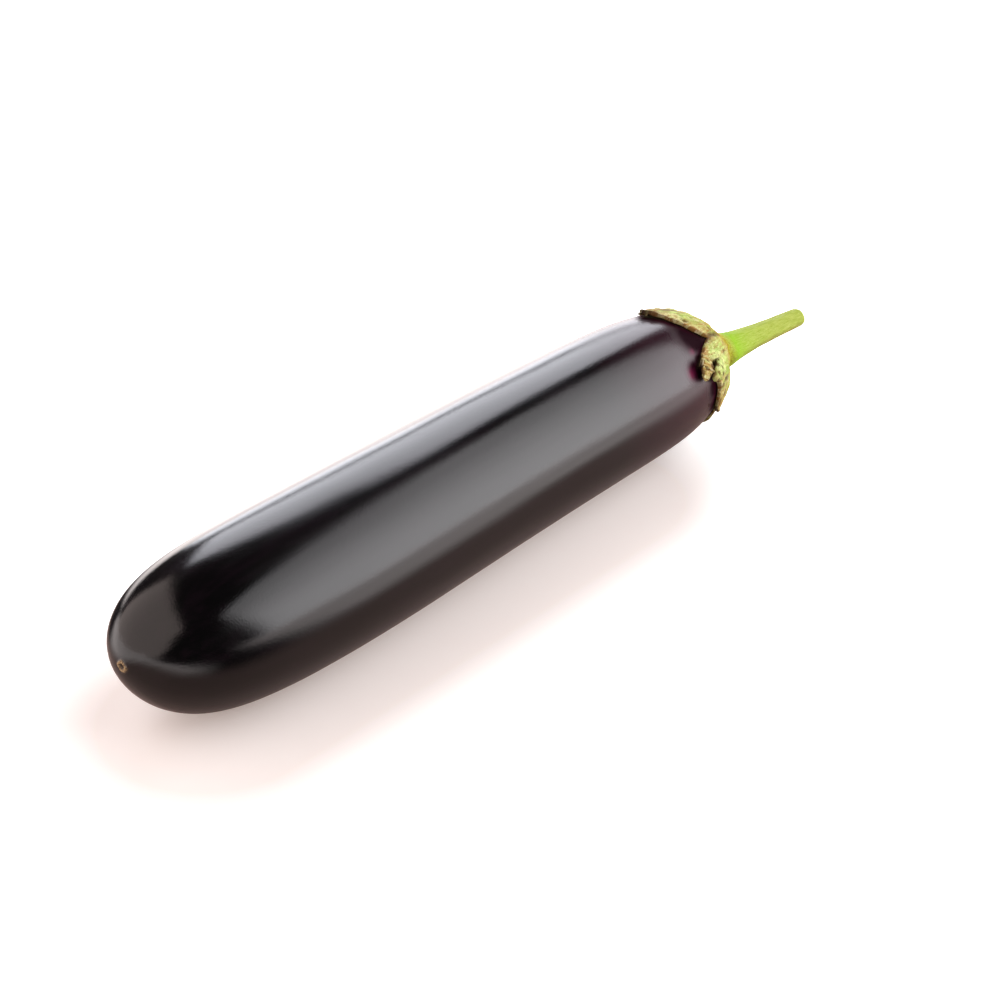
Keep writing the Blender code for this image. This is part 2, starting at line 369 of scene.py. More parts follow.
def profile_at(arc):
    """(x, radius, outward normal's x, outward normal's radial part) at a distance along the skin."""
    arc = min(max(arc, 0.0), SKIN_LENGTH)
    low, high = 0, PROFILE_STEPS
    while high - low > 1:
        middle = (low + high) // 2
        if PROFILE[middle][0] <= arc:
            low = middle
        else:
            high = middle
    (arc_a, x_a, radius_a), (arc_b, x_b, radius_b) = PROFILE[low], PROFILE[high]
    share = (arc - arc_a) / (arc_b - arc_a)
    along_x = (x_b - x_a) / (arc_b - arc_a)
    along_radius = (radius_b - radius_a) / (arc_b - arc_a)
    return x_a + (x_b - x_a) * share, radius_a + (radius_b - radius_a) * share, -along_radius, along_x


def round_axis(angle):
    """The unit vector square to X at an angle round the fruit: 0 faces -Y, 90 degrees faces up."""
    return Vector((0.0, -math.cos(angle), math.sin(angle)))


def skin_point(arc, angle, lift=0.0):
    """The point of the skin at that distance and angle, raised square to the skin by lift."""
    x, radius, normal_x, normal_radial = profile_at(arc)
    outward = round_axis(angle) * (radius + normal_radial * lift)
    return middle_at(x) + Vector((normal_x * lift, 0, 0)) + outward


def scar_rim(arc, angle):
    """How fully the corky rim of the scar is there, 0 to 1. It is a little square and uneven."""
    uneven = noise.noise(Vector((2 * math.cos(angle), 2 * math.sin(angle), 4.0)))
    radius = SCAR_RADIUS * (1 + SCAR_SQUARENESS * math.cos(SCAR_LOBES * angle) + SCAR_UNEVENNESS * uneven)
    return math.exp(-(((arc - radius) / SCAR_RIM_WIDTH) ** 2))


def scar_pit(arc):
    return math.exp(-((arc / SCAR_RADIUS) ** 2) * SCAR_PIT_STEEPNESS)


def dent(point, arc, angle):
    """The shallow unevenness of a grown skin, and its faint lengthwise furrows, in metres."""
    broad = noise.noise(point / DENT_LENGTH)
    fine = noise.noise(point / FINE_DENT_LENGTH + Vector((7, 0, 0)))
    round_y, round_z = FURROWS_ROUND * math.cos(angle), FURROWS_ROUND * math.sin(angle)
    furrow = noise.noise(Vector((arc / FURROW_LENGTH, round_y, round_z)))
    return DENT_DEPTH * (broad + FINE_DENT_SHARE * fine) + FURROW_DEPTH * furrow * min(1, arc / FURROWS_BEGIN)


class Growth:
    """Rings of points with a value of each named trait at every point, made into one mesh."""

    def __init__(self, traits):
        self.mesh = bmesh.new()
        self.layers = {trait: self.mesh.verts.layers.float.new(trait) for trait in traits}
        self.grown = self.mesh.verts.layers.float_vector.new("grown")

    def vertex(self, point, values):
        made = self.mesh.verts.new(point)
        for trait, layer in self.layers.items():
            made[layer] = values.get(trait, 0.0)
        made[self.grown] = values.get("grown", point)
        return made

    def closed(self, first, rings, last):
        """Adds one closed body. A point is (place, {trait: value}); each end is closed by a fan."""
        loops = [[self.vertex(*point) for point in ring] for ring in rings]
        start, end = self.vertex(*first), self.vertex(*last)
        sides = len(loops[0])
        faces = []
        for i in range(sides):
            j = (i + 1) % sides
            faces.append(self.mesh.faces.new((start, loops[0][j], loops[0][i])))
            faces.append(self.mesh.faces.new((end, loops[-1][i], loops[-1][j])))
            for near, far in zip(loops, loops[1:]):
                faces.append(self.mesh.faces.new((near[i], near[j], far[j], far[i])))
        bmesh.ops.recalc_face_normals(self.mesh, faces=faces)

    def finish(self, name, material):
        data = bpy.data.meshes.new(name)
        self.mesh.to_mesh(data)
        self.mesh.free()
        data.shade_smooth()
        data.materials.append(material)
        body = bpy.data.objects.new(name, data)
        bpy.context.scene.collection.objects.link(body)
        return body


# Where the fruit grown at x = 0 comes to lie in the frame.
fruit_low, fruit_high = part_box("fruit")
laid_xs = [FRUIT_LENGTH * i / LAID_STEPS for i in range(LAID_STEPS + 1)]
belly_points = [middle_at(x) for x in laid_xs]
belly_radii = [radius_at(min(x, FRUIT_LENGTH * 0.9999)) for x in laid_xs]
grown_left = min(p.y - r for p, r in zip(belly_points, belly_radii))
grown_top = max(p.z + r for p, r in zip(belly_points, belly_radii))
LAID_DOWN = Vector((fruit_high[0] - FRUIT_LENGTH, fruit_low[1] - grown_left, fruit_high[2] - grown_top))


def patches_group():
    """Cloudy patches: 0 to 1, with a chosen size, edge and amount."""
    group = bpy.data.node_groups.new("patches", "ShaderNodeTree")
    for name, kind, value in (
        ("Place", "NodeSocketVector", None),
        ("Size", "NodeSocketFloat", 100.0),
        ("From", "NodeSocketFloat", 0.45),
        ("To", "NodeSocketFloat", 0.60),
    ):
        socket = group.interface.new_socket(name=name, in_out="INPUT", socket_type=kind)
        if value is not None:
            socket.default_value = value
    group.interface.new_socket(name="Mask", in_out="OUTPUT", socket_type="NodeSocketFloat")
    start = group.nodes.new("NodeGroupInput")
    end = group.nodes.new("NodeGroupOutput")
    place, size = start.outputs["Place"], start.outputs["Size"]
    cloud = add_node(group, "TexNoise", Vector=place, Scale=size, Detail=4.0)
    edge = add_node(
        group,
        "MapRange",
        {"interpolation_type": "SMOOTHSTEP"},
        Value=cloud.outputs["Fac"],
        From_Min=start.outputs["From"],
        From_Max=start.outputs["To"],
    )
    group.links.new(edge.outputs["Result"], end.inputs["Mask"])
    return group


PATCHES = patches_group()


def patches(tree, place, size, low, high):
    """The mask of one group of patches placed in a material."""
    node = tree.nodes.new("ShaderNodeGroup")
    node.node_tree = PATCHES
    tree.links.new(place, node.inputs["Place"])
    node.inputs["Size"].default_value = size
    node.inputs["From"].default_value = low
    node.inputs["To"].default_value = high
    return node.outputs["Mask"]


def ranged(tree, value, from_min, from_max, to_min, to_max):
    """A value moved from one range to another."""
    node = add_node(
        tree, "MapRange", Value=value, From_Min=from_min, From_Max=from_max, To_Min=to_min, To_Max=to_max
    )
    return node.outputs["Result"]


def trait(tree, name):
    """A trait of the mesh, as each of its points holds it."""
    return add_node(tree, "Attribute", {"attribute_name": name}).outputs["Fac"]


def skin_material():
    material, tree, shader = new_material("black_purple_skin")
    place = add_node(tree, "TexCoord").outputs["Object"]
    lengthwise = add_node(tree, "Mapping", Vector=place, Scale=(0.12, 1.0, 1.0)).outputs["Vector"]
    along = add_node(tree, "SeparateXYZ", Vector=place).outputs["X"]
    young = ramp(tree, along, (YOUNG_SKIN_FROM, YOUNG_SKIN_TO))
    painted_shade, flush, rim, pit = (trait(tree, name) for name in ("painted_shade", "flush", "scar_rim", "scar_pit"))

    colour = mixed(tree, patches(tree, place, 28.0, 0.35, 0.65), SKIN_BLACK, SKIN_BROWN_BLACK)
    colour = mixed(tree, young, colour, YOUNG_SKIN)
    streaks = patches(tree, lengthwise, 420.0, 0.40, 0.70)
    colour = mixed(tree, worked_out(tree, "MULTIPLY", streaks, 0.25), colour, SKIN_STREAK)
    # painted shade: the skin darkened at the calyx notches and along the sepal edges
    colour = mixed(tree, painted_shade, colour, SKIN_IN_PAINTED_SHADE)
    colour = mixed(tree, flush, colour, FLUSHED_SKIN)
    colour = mixed(tree, trait(tree, "shaded"), colour, SKIN_UNDER_CALYX)
    cork = mixed(tree, patches(tree, place, 2600.0, 0.35, 0.65), CORK_BROWN, CORK_PALE)
    colour = mixed(tree, rim, colour, cork)
    colour = mixed(tree, pit, colour, SCAR_PIT_BROWN)
    tree.links.new(colour, shader.inputs["Base Color"])

    # the wax is a little duller on the young skin, and gone from the scar and from the painted shade at the
    # notches
    mottle = patches(tree, lengthwise, 150.0, 0.35, 0.65)
    polish = ranged(tree, mottle, 0.0, 1.0, *POLISHED)
    polish = worked_out(tree, "ADD", polish, ranged(tree, young, 0.0, 1.0, 0.0, YOUNG_SKIN_DULLNESS))
    bare = worked_out(tree, "MAXIMUM", worked_out(tree, "MAXIMUM", rim, pit), painted_shade)
    rough = add_node(tree, "Mix", {"data_type": "FLOAT"}, Factor=bare, B=DULL)
    tree.links.new(polish, rough.inputs["A"])
    tree.links.new(rough.outputs[0], shader.inputs["Roughness"])
    # the painted shade, and the flush in part, are made metallic, so their colour also dims and tints the
    # skin's reflection there
    solid = worked_out(tree, "MAXIMUM", painted_shade, worked_out(tree, "MULTIPLY", flush, FLUSH_SOLIDITY))
    tree.links.new(solid, shader.inputs["Metallic"])
    shader.inputs["IOR"].default_value = 1.45

    pores = add_node(tree, "TexNoise", Vector=place, Scale=1900.0, Detail=3.0)
    ripples = add_node(tree, "TexNoise", Vector=lengthwise, Scale=260.0, Detail=2.0)
    height = add_node(tree, "Mix", {"data_type": "FLOAT"}, Factor=0.35)
    tree.links.new(pores.outputs["Fac"], height.inputs["A"])
    tree.links.new(ripples.outputs["Fac"], height.inputs["B"])
    bump = add_node(tree, "Bump", Strength=0.13, Distance=0.0004, Height=height.outputs[0])
    tree.links.new(bump.outputs["Normal"], shader.inputs["Normal"])
    return material


# Round the calyx the skin carries painted shade at the notches and along the sepal edges, flushes magenta
# just outside the sepals, and is pale beneath them. Each sepal has its tip's angle and distance from the
# stem, its curl, and its two hollows.
# A notch is an angle and a distance; a spot is an angle, a distance and a size.
SEPALS = (
    (33, 0.0405, 0.0020, 1.6, 0.8),
    (103, 0.0395, 0.0010, 0.6, 1.2),
    (182, 0.0385, 0.0015, 1.1, 1.2),
    (274, 0.0318, 0.0001, 1.1, 1.1),
    (345, 0.0322, 0.0005, 0.8, 1.0),
)
NOTCHES = ((6, 0.0310), (52, 0.0265), (143, 0.0265), (229, 0.0255), (327, 0.0248))
FLUSH_WIDTH = 0.0016
FLUSH_ENDS = 0.06
PAINTED_SHADE_WIDTH = 1.6 * FLUSH_WIDTH
PAINTED_SHADE_NOTCH_DEPTH = 1.9
PAINTED_SHADE_EDGE_DEPTH = 0.9
FLUSHED_SPOT_DEPTH = 0.8
SHADED_WITHIN = 0.004
PAINTED_SHADE_NOTCHES = ((58, 0.0335, 0.0055), (30, 0.0410, 0.0030), (6, 0.0325, 0.0030), (145, 0.0300, 0.0045))
PAINTED_SHADE_NOTCHES += ((229, 0.0285, 0.0045), (327, 0.0280, 0.0035))
FLUSHED_SPOTS = ((30, 0.0436, 0.0017), (46, 0.0385, 0.0010), (140, 0.0345, 0.0015), (231, 0.0320, 0.0015))
YOUNG_SKIN_FROM = 0.035
YOUNG_SKIN_TO = 0.100


def blend(a, b, share):
    return a + (b - a) * share


def sepal_halves():
    """Each half sepal: (notch, its edge, tip, the tip's reach, hollow, curl, notch to tip or back)."""
    next_notches = NOTCHES[1:] + ((NOTCHES[0][0] + 360, NOTCHES[0][1]),)
    for (tip, reach, curl, rising, falling), before, after in zip(SEPALS, NOTCHES, next_notches):
        yield *before, tip, reach, rising, curl, True
        yield *after, tip, reach, falling, curl, False


def calyx_edge(angle):
    """The distance from the stem at which the calyx ends, at an angle in degrees."""
    angle = (angle - NOTCHES[0][0]) % 360 + NOTCHES[0][0]
    for notch, notch_edge, tip, reach, hollow, _, _ in sepal_halves():
        if min(notch, tip) <= angle <= max(notch, tip):
            share = (angle - notch) / (tip - notch)
            return blend(notch_edge, reach, share**hollow)
    return NOTCHES[0][1]


def nearness_to(spot, from_stem, angle):
    """1 at the middle of a spot (angle in degrees, distance from the stem, size), fading to 0."""
    turn = (math.degrees(angle) - spot[0] + 180) % 360 - 180
    across = math.radians(turn) * profile_at(SKIN_LENGTH - spot[1])[1]
    return math.exp(-((across / spot[2]) ** 2) - ((from_stem - spot[1]) / spot[2]) ** 2)


def flush_at(arc, angle):
    """(magenta flush, painted shade at the notches and sepal edges, pale shade) of the skin at that place, 0
    to 1 each.
    """
    from_stem = SKIN_LENGTH - arc
    if from_stem > FLUSH_ENDS:
        return 0.0, 0.0, 0.0
    beyond = from_stem - calyx_edge(math.degrees(angle))
    patchy = 0.5 + 0.5 * noise.noise(Vector((3 * math.cos(angle), 3 * math.sin(angle), 9.0)))
    rim = math.exp(-((max(beyond, 0) / (FLUSH_WIDTH * (0.4 + patchy))) ** 2)) * (0.15 + 0.4 * patchy)
    spots = max(nearness_to(spot, from_stem, angle) for spot in FLUSHED_SPOTS)
    # painted shade at the notches, and in a band along the sepal edges
    notch = max(nearness_to(spot, from_stem, angle) for spot in PAINTED_SHADE_NOTCHES)
    edge = math.exp(-((max(beyond, 0) / PAINTED_SHADE_WIDTH) ** 2))
    painted_shade = max(min(PAINTED_SHADE_NOTCH_DEPTH * notch, 1), PAINTED_SHADE_EDGE_DEPTH * edge)
    shaded = min(max(-beyond / SHADED_WITHIN, 0), 1)
    return min(max(rim, FLUSHED_SPOT_DEPTH * spots), 1), painted_shade, shaded


def make_fruit():
    growth = Growth(("flush", "painted_shade", "shaded", "scar_rim", "scar_pit"))
    scar_arcs = [SCAR_RING_STEP * i for i in range(1, SCAR_RINGS + 1)]
    even = [SKIN_LENGTH * (1 - math.cos(math.pi * i / FRUIT_RINGS)) / 2 for i in range(1, FRUIT_RINGS)]
    arcs = scar_arcs + [arc for arc in even if arc > scar_arcs[-1] + SCAR_RING_STEP]

    def grown(arc, angle):
        rim, pit = scar_rim(arc, angle), scar_pit(arc)
        flat = skin_point(arc, angle)
        lift = dent(flat, arc, angle) + SCAR_HEIGHT * rim - SCAR_PIT_DEPTH * pit
        point = skin_point(arc, angle, lift) + LAID_DOWN
        point.z = max(point.z, 0.0)
        flush, painted_shade, shaded = flush_at(arc, angle)
        traits = {"flush": flush, "painted_shade": painted_shade, "shaded": shaded, "scar_rim": rim, "scar_pit": pit}
        return point, traits

    angles = [2 * math.pi * i / FRUIT_SIDES for i in range(FRUIT_SIDES)]
    rings = [[grown(arc, angle) for angle in angles] for arc in arcs]
    growth.closed(grown(0.0, 0.0), rings, grown(SKIN_LENGTH, 0.0))
    return growth.finish("fruit_skin", skin_material())


fruit = make_fruit()
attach(fruit, "root")
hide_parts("fruit")

# The calyx and its stem: one green growth, fleshy at the cup, thin and wrinkled out in its five
# sepals, whose edges have dried brown. The stem is ribbed and was cut. All of it hugs the fruit,
# a hair's breadth off the skin.
STEM_LENGTH = 0.0465
STEM_BASE_RADIUS = 0.0077
STEM_TIP_RADIUS = 0.0030
STEM_TAPER = 0.0147
STEM_OFFSET = Vector((0.0, -0.0014, -0.0017))
STEM_SWING = Vector((0.0, -0.0022, -0.0026))
STEM_RIBS = 5
STEM_RIB_DEPTH = 0.07
STEM_DROOP_POWER = 1.1
CUT_ROUNDING = 0.0012
CALYX_CLEARANCE = 0.0003
CALYX_EDGE_THICKNESS = 0.0008
CALYX_CUP_THICKNESS = 0.0022
CALYX_NECK_ARC = 0.0068
MIDRIB_HEIGHT = 0.0005
MIDRIB_START = 0.7
NECK_SLOPE_STEP = 0.002

COLUMNS_A_SIDE = 28
UNDER_ROWS = 12
TOP_ROWS = 64
NECK_ROWS = 12
STEM_ROWS = 70
WRINKLE_DEPTH = 0.00042
PUCKER_DEPTH = 0.00048
CUP_ENDS = 0.023
CUP_FADE = 0.009
AMBER_FADE = 0.003
GROOVE_DEPTH = 0.00050
GROOVE_WIDTH = 0.0009
GROOVE_WANDER = 7
GROOVE_FROM = 0.011
GROOVE_FADE = 0.008
BLADE_THINS_OVER = 0.012
LEAST_THICKNESS = 0.00035
ROLL_HEIGHT = 0.0004
ROLL_WIDTH = 0.0007
RIM_BULGE = 0.0002
CURL_SHARE = 0.55
FLARE_HEIGHT = 0.0011
FLARE_SHELTER = 0.7
MARGIN_WIDTH = 0.0032
TORN_WIDTH = 0.00065
TORN_DEPTH = 0.6
LOBE_FROM_EDGE = 0.009
LOBE_WIDTH = 0.008
SHRIVELLED_TIP = 0.01 / 3.5

# Sunken spots with painted shade in them, two of them a painted shadow below the big tongue; the pale lobe
# and the rusted places: an angle, a distance and a size each.
HOLLOW_DEPTH = 0.0008
HOLLOWS_WITH_PAINTED_SHADE = (
    (31.0, 0.0338, 0.0010),
    (28.0, 0.0322, 0.0010),
    (25.5, 0.0306, 0.0008),
    (13.5, 0.0340, 0.0008),
    (12.0, 0.0318, 0.0008),
    (75.0, 0.0310, 0.0009),
    (168.0, 0.0300, 0.0010),
    (199.0, 0.0290, 0.0011),
    (249.0, 0.0270, 0.0009),
)
PALE_LOBE = (42, 0.0270, 0.0085)
RUSTED_SPOTS = ((347, 0.0290, 0.0060), (62, 0.0250, 0.0050), (190, 0.0300, 0.0050), (280, 0.0270, 0.0060))

# The torn tongues, the prongs and the curled tips that stand on the sepals. Each has two ends of
# (angle, distance from the stem, lift), then its half width, its half thickness and its arch.
FLAP_RINGS = 18
FLAP_SIDES = 20
FLAP_UNEVENNESS = 0.45
TONGUES = (
    ((29, 0.0268, 0.0013), (16.0, 0.0354, 0.0014), 0.0031, 0.0009, 0.0007),
    ((120, 0.0240, 0.0012), (112, 0.0300, 0.0011), 0.0009, 0.0006, 0.0003),
    ((205, 0.0230, 0.0012), (196, 0.0285, 0.0012), 0.0012, 0.0006, 0.0004),
)
PRONGS = (
    ((104.5, 0.0365, 0.0007), (105.5, 0.0405, 0.0013), 0.0007, 0.00035, 0.0003),
    ((101.0, 0.0360, 0.0007), (98.5, 0.0400, 0.0010), 0.0006, 0.00035, 0.0002),
    ((182.0, 0.0350, 0.0008), (185.0, 0.0400, 0.0018), 0.0007, 0.00035, 0.0004),
    ((179.5, 0.0345, 0.0008), (176.0, 0.0385, 0.0010), 0.0006, 0.00035, 0.0003),
)
CURLED_TIPS = (
    ((41.0, 0.0342, 0.0011), (19.5, 0.0398, 0.0012), 0.0031, 0.00050, 0.0006),
    ((183.0, 0.0330, 0.0009), (192.0, 0.0362, 0.0012), 0.0020, 0.00050, 0.0004),
)
RAGGED = 0.0007
FIBRE_RADIUS = 0.020
FIBRE_STRETCH = 0.28
STEM_FIBRE_FINENESS = 0.5

STEM_RIBS_FADE = 0.012
STEM_FURROW_DEPTH = 0.00009
STEM_LUMP_DEPTH = 0.00012
STEM_SMOOTH_BY_CUT = 0.004
CUT_WIDTH = 0.0009
CUT_ROWS = (0.75, 0.5, 0.3, 0.15, 0.05, 0.0)
BRIGHT_FADE = 0.007
SCUFF_ANGLE = -40
SCUFF_SPREAD = 16

# The colours of the blades, the cup, what has dried, the stem and the dark places.
BLADE_CREAM = (0.600, 0.600, 0.270)
BLADE_GREEN = (0.430, 0.550, 0.130)
LOBE_GREEN = (0.360, 0.500, 0.130)
LOBE_CREAM = (0.570, 0.670, 0.250)
VIVID_GREEN = (0.230, 0.357, 0.051)
CUP_OCHRE = (0.370, 0.320, 0.004)
CUP_LIME = (0.350, 0.400, 0.008)
CUP_RUST = (0.260, 0.115, 0.006)
DRY_TAN = (0.390, 0.260, 0.100)
DRY_CREAM = (0.690, 0.610, 0.350)
RUST = (0.290, 0.130, 0.020)
RUST_STAIN = (0.340, 0.204, 0.060)
CREASE_BROWN = (0.100, 0.048, 0.010)
CREASE_BROWNS = (0.52, 0.64)
SPECK_BROWN = (0.136, 0.081, 0.021)
STEM_GREEN = (0.285, 0.370, 0.046)
STEM_PALE = (0.440, 0.510, 0.110)
STEM_FOOT_GREEN = (0.235, 0.480, 0.008)
STEM_SCUFF = (0.323, 0.187, 0.076)
AMBER = (0.420, 0.350, 0.004)
AMBER_BROWN = (0.300, 0.130, 0.004)
TORN_BROWN_AND_PAINTED_SHADE = (0.051, 0.023, 0.009)
SHRIVELLED_BROWN = (0.019, 0.009, 0.006)
CUT_GREEN = (0.306, 0.323, 0.102)
LEAF_ROUGHNESS = (0.58, 0.75)


def fine_columns():
    """Each column: (angle, distance to the edge, nearness to a tip, curl)."""
    columns = []
    for notch, notch_edge, tip, reach, hollow, curl, rising in sepal_halves():
        shares = [i / COLUMNS_A_SIDE for i in range(COLUMNS_A_SIDE)]
        for share in shares if rising else [1 - s for s in shares]:
            angle = math.radians(blend(notch, tip, share))
            edge = blend(notch_edge, reach, share**hollow)
            tooth = noise.noise(Vector((9 * math.cos(angle), 9 * math.sin(angle), 2.0)))
            tooth += 0.6 * noise.noise(Vector((30 * math.cos(angle), 30 * math.sin(angle), 5.0)))
            edge += RAGGED * tooth * min(1, 2.5 * share + 0.2)
            columns.append((angle, edge, share, curl))
    return columns


def edge_flare(angle, reach):
    """How far the dry edge stands off the skin: it cockles as it shrinks, less so underneath."""
    cockle = noise.noise(Vector((5 * math.cos(angle), 5 * math.sin(angle), 11.0)))
    sheltered = 0.5 - 0.5 * math.sin(angle)
    return FLARE_HEIGHT * max(cockle + 0.15, 0) * reach**5 * (1 - FLARE_SHELTER * sheltered)


def under_lift(column, reach):
    angle, _, nearness, curl = column
    return CALYX_CLEARANCE + CURL_SHARE * curl * nearness**2 * reach**4 + edge_flare(angle, reach)


def relief_at(angle, arc):
    """Wrinkles that run with the growth, and coarser puckers across them. -1 to 1 each."""
    around = Vector((0.013 * math.cos(angle), 0.013 * math.sin(angle), 0))
    wrinkle = noise.noise(around * 620 + Vector((0, 0, arc * 210)))
    sharp = 1 - 2.4 * abs(noise.noise(around * 300 + Vector((0, 0, arc * 120 + 30))))
    pucker = noise.noise(around * 240 + Vector((0, 0, arc * 300 + 60)))
    return 0.6 * wrinkle + 0.4 * sharp, pucker


def folds_at(angle, arc):
    """(groove, hollow) there: the creases that run in from the notches, and the sunken spots, each also
    painted dark as shade.
    """
    radius = profile_at(SKIN_LENGTH - arc)[1]
    groove = 0.0
    for number, (notch, _) in enumerate(NOTCHES):
        wander = GROOVE_WANDER * noise.noise(Vector((3.3 * number, 150 * arc, 0)))
        turn = (math.degrees(angle) - notch - wander + 180) % 360 - 180
        across = math.radians(turn) * radius
        inward = min(max((arc - GROOVE_FROM) / GROOVE_FADE, 0), 1)
        groove = max(groove, inward * math.exp(-((across / GROOVE_WIDTH) ** 2)))
    hollow = max(nearness_to(spot, arc, angle) for spot in HOLLOWS_WITH_PAINTED_SHADE)
    return groove, hollow


def fibres_at(angle, along):
    """A place in which textures run with the growth: round the fruit, and slowly along it."""
    return Vector((FIBRE_RADIUS * math.cos(angle), FIBRE_RADIUS * math.sin(angle), FIBRE_STRETCH * along))


def top_point(column, arc):
    """(place, traits) on the upper face of the calyx at a distance from the stem."""
    angle, edge, nearness, _ = column
    reach = arc / edge
    from_edge = edge - arc
    past_neck = max(arc - CALYX_NECK_ARC, 0)
    flesh = CALYX_CUP_THICKNESS * math.exp(-past_neck / CALYX_NECK_ARC)
    midrib = MIDRIB_HEIGHT * max(nearness - MIDRIB_START, 0) / (1 - MIDRIB_START)
    thickness = CALYX_EDGE_THICKNESS + flesh + midrib * (1 - reach**4)
    wrinkle, pucker = relief_at(angle, arc)
    groove, hollow = folds_at(angle, arc)
    thin = min(past_neck / BLADE_THINS_OVER, 1)
    relief = (WRINKLE_DEPTH * wrinkle + PUCKER_DEPTH * pucker) * (0.15 + 0.85 * thin)
    relief -= GROOVE_DEPTH * groove + HOLLOW_DEPTH * hollow
    rolled = ROLL_HEIGHT * math.exp(-(((from_edge - ROLL_WIDTH) / ROLL_WIDTH) ** 2)) * (0.6 + pucker)
    lift = under_lift(column, reach) + max(thickness + relief + rolled, LEAST_THICKNESS)
    place = skin_point(SKIN_LENGTH - arc, angle, lift) + LAID_DOWN
    margin = math.exp(-((from_edge / MARGIN_WIDTH) ** 2)) + 0.5 * nearness**6 * thin
    traits = {
        "margin": min(margin, 1),
        "edge": TORN_DEPTH * math.exp(-((from_edge / TORN_WIDTH) ** 2)),
        "crease": 0.5 - 0.5 * (0.55 * wrinkle + 0.45 * pucker),
        "groove": groove,
        "hollow": hollow,
        "lobe": thin * math.exp(-(((from_edge - LOBE_FROM_EDGE) / LOBE_WIDTH) ** 2)),
        "pale": nearness_to(PALE_LOBE, arc, angle),
        "rusted": max(nearness_to(spot, arc, angle) for spot in RUSTED_SPOTS),
        "cup": min(max((CUP_ENDS - arc) / CUP_FADE, 0), 1),
        "tip": max(nearness**3 - from_edge / SHRIVELLED_TIP, 0),
        "base": math.exp(-past_neck / AMBER_FADE),
        "grown": fibres_at(angle, arc),
    }
    return place, traits


def under_point(column, reach):
    angle, edge, nearness, _ = column
    lift = under_lift(column, reach)
    place = skin_point(SKIN_LENGTH - edge * reach, angle, lift) + LAID_DOWN
    grown = fibres_at(angle, edge * reach)
    # painted shade: the underside darkens towards its edge and a little towards the tips, so the skin beside
    # it mirrors a dark line
    return place, {"margin": 1.0, "hollow": reach**4, "tip": 0.3 * nearness, "grown": grown}


def rim_point(column):
    """The middle of the calyx's own edge, a little proud of its two faces."""
    angle, edge, nearness, _ = column
    lift = under_lift(column, 1.0) + CALYX_EDGE_THICKNESS / 2
    place = skin_point(SKIN_LENGTH - edge - RIM_BULGE, angle, lift) + LAID_DOWN
    return place, {"margin": 1.0, "edge": 0.45, "tip": nearness**3, "grown": fibres_at(angle, edge)}


def stem_middle(distance):
    share = distance / STEM_LENGTH
    base = middle_at(FRUIT_LENGTH)
    return base + Vector((distance, 0, 0)) + STEM_OFFSET + STEM_SWING * share**STEM_DROOP_POWER


def stem_place(distance, angle):
    from_cut = STEM_LENGTH - distance
    radius = blend(STEM_TIP_RADIUS, STEM_BASE_RADIUS, math.exp(-distance / STEM_TAPER))
    if from_cut < CUT_ROUNDING:
        radius -= CUT_ROUNDING * (1 - math.sqrt(1 - (1 - from_cut / CUT_ROUNDING) ** 2))
    rib_depth = STEM_RIB_DEPTH * (1 - math.exp(-distance / STEM_TAPER))
    rib_depth *= min(0.2 + from_cut / STEM_RIBS_FADE, 1)
    radius *= 1 + rib_depth * math.cos(STEM_RIBS * angle)
    around = Vector((0.004 * math.cos(angle), 0.004 * math.sin(angle), 0))
    furrow = noise.noise(around * 900 + Vector((0, 0, distance * 90)))
    lump = noise.noise(around * 300 + Vector((0, 0, distance * 160 + 20)))
    relief = STEM_FURROW_DEPTH * furrow + STEM_LUMP_DEPTH * lump
    radius += relief * min(from_cut / STEM_SMOOTH_BY_CUT, 1)
    return stem_middle(distance) + round_axis(angle) * radius + LAID_DOWN


def stem_point(distance, angle):
    scuffed = (math.degrees(angle) - SCUFF_ANGLE + 180) % 360 - 180
    traits = {
        "stem": 1.0,
        "cut": max(1 - (STEM_LENGTH - distance) / CUT_WIDTH, 0),
        "bright": math.exp(-max(distance - CALYX_NECK_ARC, 0) / BRIGHT_FADE),
        "streak": math.exp(-((scuffed / SCUFF_SPREAD) ** 2)),
        "grown": fibres_at(angle, distance) * STEM_FIBRE_FINENESS,
    }
    return stem_place(distance, angle), traits


def neck_point(column, t):
    """The hollow curve that carries the top of the cup into the stem, at share t of the way."""
    angle = column[0]
    cup, traits = top_point(column, CALYX_NECK_ARC)
    cup_slope = cup - top_point(column, CALYX_NECK_ARC + NECK_SLOPE_STEP)[0]
    stem = stem_place(CALYX_NECK_ARC, angle)
    stem_slope = stem_place(CALYX_NECK_ARC + NECK_SLOPE_STEP, angle) - stem
    pull = (stem - cup).length
    point = cup * (2 * t**3 - 3 * t**2 + 1) + stem * (3 * t**2 - 2 * t**3)
    point += cup_slope.normalized() * pull * (t**3 - 2 * t**2 + t)
    point += stem_slope.normalized() * pull * (t**3 - t**2)
    grown = fibres_at(angle, CALYX_NECK_ARC) * blend(1.0, STEM_FIBRE_FINENESS, t)
    traits = {
        "cup": 1 - t,
        "base": 1 - t,
        "crease": blend(traits["crease"], 0.3, t),
        "stem": t,
        "bright": 1.0,
        "grown": grown,
    }
    return point, traits


